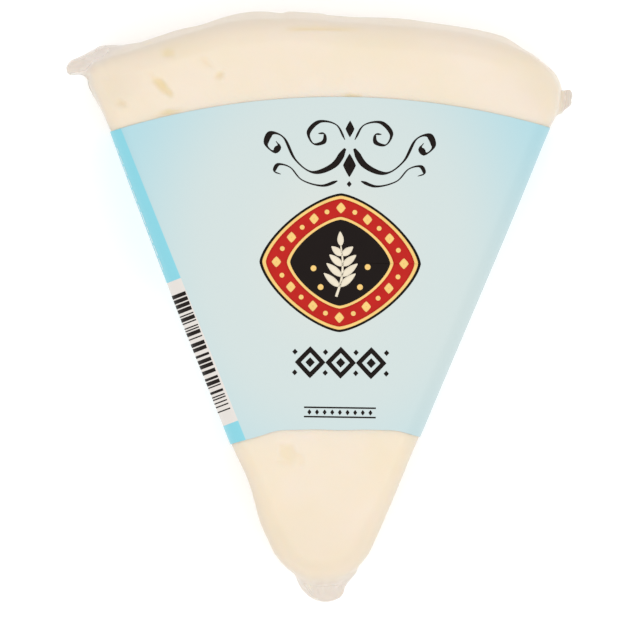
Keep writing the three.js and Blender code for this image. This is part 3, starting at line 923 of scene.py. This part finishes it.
def stroke(path, width):
    """A stroke: the path with half its width laid out on both sides, square to it."""
    ahead = np.gradient(path, axis=0)
    ahead /= np.linalg.norm(ahead, axis=1)[:, None]
    aside = np.stack([-ahead[:, 1], ahead[:, 0]], -1)
    return path + np.linspace(-0.5, 0.5, 4)[:, None, None] * (width * aside.T).T


def through(places, steps=90):
    """A smooth path through places, as a Catmull-Rom spline, with its points spaced evenly."""
    places = np.array(places, float)
    knots = np.concatenate([2 * places[:1] - places[1:2], places, 2 * places[-1:] - places[-2:-1]])
    where = np.linspace(0, len(places) - 1.0001, 40 * len(places))
    first, t = where.astype(int), (where % 1)[:, None]
    a, b, c, d = (knots[first + shift] for shift in range(4))
    path = b + 0.5 * ((c - a) * t + (2 * a - 5 * b + 4 * c - d) * t ** 2 + (3 * b - a - 3 * c + d) * t ** 3)
    return evenly(path, steps)


def penned(places, thin, thick):
    """A stroke of a broad nib held at a slant: thickest across the nib, as the squared sine of the angle
    between them, and tapered at both ends."""
    path = through(places)
    ahead = np.gradient(path, axis=0)
    across_nib = np.sin(np.arctan2(ahead[:, 1], ahead[:, 0]) - NIB_SLANT) ** 2
    taper = np.minimum(1, 4 * np.sin(math.pi * np.linspace(0.03, 0.97, len(path))))
    return stroke(path, (thin + (thick - thin) * across_nib) * taper)


def leaf(base, lean, length, width):
    """A leaf from its base: a straight path with the width of a sine, leaning from upright."""
    share = np.linspace(0.02, 0.98, 16)
    turn = math.radians(90 + lean)
    path = base + share[:, None] * length * np.array((math.cos(turn), math.sin(turn)))
    return stroke(path, width * np.sin(math.pi * share ** 0.8) ** 0.8)


# The flourish: three scrolls on each side of a line of diamonds
FLOURISH = np.array((4.6, 105.6))
SCROLLS = (  # places on the path, and the stroke's width along the nib and across it
    (((0.9, 1.2), (3.2, -2.2), (7.4, -3.7), (11.0, -1.2), (13.4, 3.2), (16.0, 4.1), (17.0, 1.9),
      (15.5, 0.4), (14.4, 1.5), (15.0, 2.5)), 0.3, 1.3),
    (((1.0, 3.0), (2.8, 6.0), (6.2, 6.6), (8.4, 4.4), (7.4, 2.1), (5.3, 2.5), (5.2, 4.1),
      (6.4, 4.2)), 0.26, 0.9),
    (((2.4, -5.4), (5.6, -6.4), (9.6, -5.3), (12.0, -2.8), (14.4, -2.2), (15.2, -3.6),
      (13.9, -4.2)), 0.25, 0.8),
)
black = []
for places, thin, thick in SCROLLS:
    half = penned(FLOURISH + np.array(places), thin, thick)
    other = half[::-1].copy()
    other[..., 0] = 2 * FLOURISH[0] - other[..., 0]
    black += [half, other]
for rise, half_width, half_height in ((5.2, 0.9, 1.7), (-2.2, 1.3, 2.4), (-6.0, 0.5, 0.6)):
    black.append(diamond(FLOURISH + (0, rise), half_width, half_height))

# The row of diamonds and the double rule
DIAMOND_ROW = np.array((3.4, 63.3))
for place in (-6.2, 0, 6.2):
    black.append(diamond(DIAMOND_ROW + (place, 0), 3.1, 3.25, inner=0.6, power=1.02))
    black.append(diamond(DIAMOND_ROW + (place, 0), 0.95, 1.0, power=1.02))
for place in (-9.3, -3.1, 3.1, 9.3):
    black += [diamond(DIAMOND_ROW + (place, rise), 0.55, 0.6, power=1.02) for rise in (-2.1, 2.1)]
DOUBLE_RULE = np.array((3.4, 53.2))
for rise in (-0.95, 0.95):
    ends = np.linspace(-7.3, 7.3, 40)
    black.append(stroke(DOUBLE_RULE + np.stack([ends, rise + 0 * ends], -1), 0.32))
black += [diamond(DOUBLE_RULE + (place, 0), 0.4, 0.55, steps=25) for place in np.linspace(-6.2, 6.2, 9)]

# The badge: frames and a field, each a share of its size, with beads along the red frame
BADGE = np.array((3.0, 83.6))
BADGE_HALF = (16.4, 14.1)
BADGE_POWER = 1.45
BEADS = 24
BEAD_LINE = 0.79  # share of the badge's size
STEM_STEPS = 60


def badge_frame(outer, inner=0.001, rings=4):
    """A frame of the badge between two shares of its size."""
    half_width, half_height = (half * outer for half in BADGE_HALF)
    return diamond(BADGE, half_width, half_height, inner / outer, BADGE_POWER, rings=rings)


black.append(badge_frame(1.0, rings=20))
gold = [badge_frame(0.965, 0.92), badge_frame(0.66, 0.62)]
bead_line = BADGE + rounded_diamond(BEAD_LINE * BADGE_HALF[0], BEAD_LINE * BADGE_HALF[1], BADGE_POWER,
                                    np.linspace(0, 2 * math.pi, 400))
spots = evenly(bead_line, BEADS + 1)[:-1]
gold += [diamond(spot, 0.95, 1.1, power=1.2) for spot in spots[::2]]
gold += [diamond(spot, 0.5, 0.5, power=2, steps=25) for spot in spots[1::2]]
gold += [diamond(BADGE + spot, 0.6, 0.6, power=2, steps=25)
         for spot in ((-5.4, -1.2), (5.6, -0.8), (-3.9, -5.0), (4.1, -4.9))]
stem = through(BADGE + np.array(((-0.7, -6.9), (0.3, -3.4), (0.5, 0.2), (0.1, 3.4))), STEM_STEPS)
cream = [stroke(stem, np.linspace(0.55, 0.3, STEM_STEPS)), leaf(stem[-1], 4, 3.0, 1.3)]
for share, leaf_length in ((0.22, 4.3), (0.42, 4.2), (0.62, 3.6), (0.82, 2.9)):
    base = stem[int(share * (STEM_STEPS - 1))]
    cream += [leaf(base, lean, leaf_length, 1.45) for lean in (50, -50)]

printed("print_black", black, BLACK, 1)
printed("print_red", [badge_frame(0.92, 0.66, rings=8)], RED, 2)
printed("print_gold", gold, GOLD, 3)
printed("print_cream", cream, CREAM, 3)

# The side panel: seeded bars, each one to three steps wide, and rows of pale dashes
BAR_STEP = 0.264
BAR_START, BAR_END = 56.8, 81.9
BAR_TOP, BAR_FOOT = 4.6, -13.0
BAR_BLACK = (0.016, 0.012, 0.010, 1)
DASH_ROWS = (1.3, -0.4, -2.1)
DASH_START, DASH_END = 88.0, 114.5
DASH_WIDTH, DASH_SPACE = 0.35, 0.5
DASH_PALE = (0.72, 0.86, 0.90, 1)
STRIP_STEP = 0.6
draw = np.random.default_rng(21)


def strip(start, end, low, high):
    """A stamp between two distances along the edge and two distances round it, in steps up to 0.6 mm."""
    reach = np.linspace(start, end, 2 + int((end - start) / STRIP_STEP))
    round_by = np.linspace(low, high, 2 + int((high - low) / STRIP_STEP))
    return np.stack(np.meshgrid(reach, round_by), -1)


bars, place = [], BAR_START
while place < BAR_END:
    bar, space = draw.choice((1, 1, 2, 3), 2)
    bars.append(strip(place, place + bar * BAR_STEP, BAR_FOOT, BAR_TOP))
    place += (bar + space) * BAR_STEP
printed("print_bars", bars, BAR_BLACK, 1, on_side)
dashes = []
for middle in DASH_ROWS:
    place = DASH_START
    while place < DASH_END:
        dash = draw.uniform(0.8, 3.2)
        dashes.append(strip(place, place + dash, middle - DASH_WIDTH / 2, middle + DASH_WIDTH / 2))
        place += dash + DASH_SPACE
printed("print_dashes", dashes, DASH_PALE, 1, on_side)
